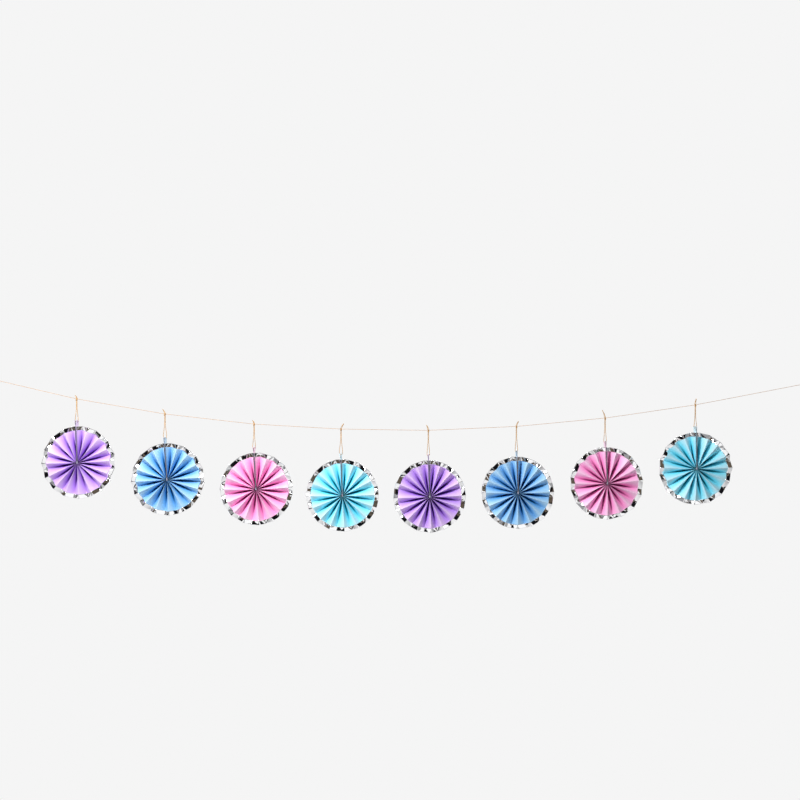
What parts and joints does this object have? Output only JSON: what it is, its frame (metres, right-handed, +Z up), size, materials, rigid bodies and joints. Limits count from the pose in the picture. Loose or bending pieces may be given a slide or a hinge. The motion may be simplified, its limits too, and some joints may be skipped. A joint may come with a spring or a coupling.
{
  "type": "paper fan garland",
  "caption": "Garland of round pleated paper fans with silver foil rims, each hung from one sagging string by a knotted twine loop.",
  "frame": {"origin": "the far end of the left eye of the string, where it hangs on its hook", "axes": "+X along the garland to the right, +Z up; the fans face -Y"},
  "size_m": [1.7863, 0.0172, 0.332],
  "materials": {
    "purple_paper": "matt paper",
    "blue_paper": "matt paper",
    "pink_paper": "matt paper",
    "aqua_paper": "matt paper",
    "silver_foil": "mirror foil",
    "end_card": "matt card",
    "twine": "twisted fibre",
    "string": "twisted fibre"
  },
  "bodies": {
    "root": {"fan_1_pleated_sheet": "purple_paper", "fan_1_foil_edging": "silver_foil", "fan_1_left_end_card": "end_card", "fan_1_right_end_card": "end_card", "fan_1_twine_loop": "twine", "fan_1_hanging_knot": "twine", "fan_2_pleated_sheet": "blue_paper", "fan_2_foil_edging": "silver_foil", "fan_2_left_end_card": "end_card", "fan_2_right_end_card": "end_card", "fan_2_twine_loop": "twine", "fan_2_hanging_knot": "twine", "fan_3_pleated_sheet": "pink_paper", "fan_3_foil_edging": "silver_foil", "fan_3_left_end_card": "end_card", "fan_3_right_end_card": "end_card", "fan_3_twine_loop": "twine", "fan_3_hanging_knot": "twine", "fan_4_pleated_sheet": "aqua_paper", "fan_4_foil_edging": "silver_foil", "fan_4_left_end_card": "end_card", "fan_4_right_end_card": "end_card", "fan_4_twine_loop": "twine", "fan_4_hanging_knot": "twine", "fan_5_pleated_sheet": "purple_paper", "fan_5_foil_edging": "silver_foil", "fan_5_left_end_card": "end_card", "fan_5_right_end_card": "end_card", "fan_5_twine_loop": "twine", "fan_5_hanging_knot": "twine", "fan_6_pleated_sheet": "blue_paper", "fan_6_foil_edging": "silver_foil", "fan_6_left_end_card": "end_card", "fan_6_right_end_card": "end_card", "fan_6_twine_loop": "twine", "fan_6_hanging_knot": "twine", "fan_7_pleated_sheet": "pink_paper", "fan_7_foil_edging": "silver_foil", "fan_7_left_end_card": "end_card", "fan_7_right_end_card": "end_card", "fan_7_twine_loop": "twine", "fan_7_hanging_knot": "twine", "fan_8_pleated_sheet": "aqua_paper", "fan_8_foil_edging": "silver_foil", "fan_8_left_end_card": "end_card", "fan_8_right_end_card": "end_card", "fan_8_twine_loop": "twine", "fan_8_hanging_knot": "twine", "garland_string": "string", "left_end_loop": "string", "left_end_knot": "string", "right_end_loop": "string", "right_end_knot": "string"}
  },
  "joints": []
}
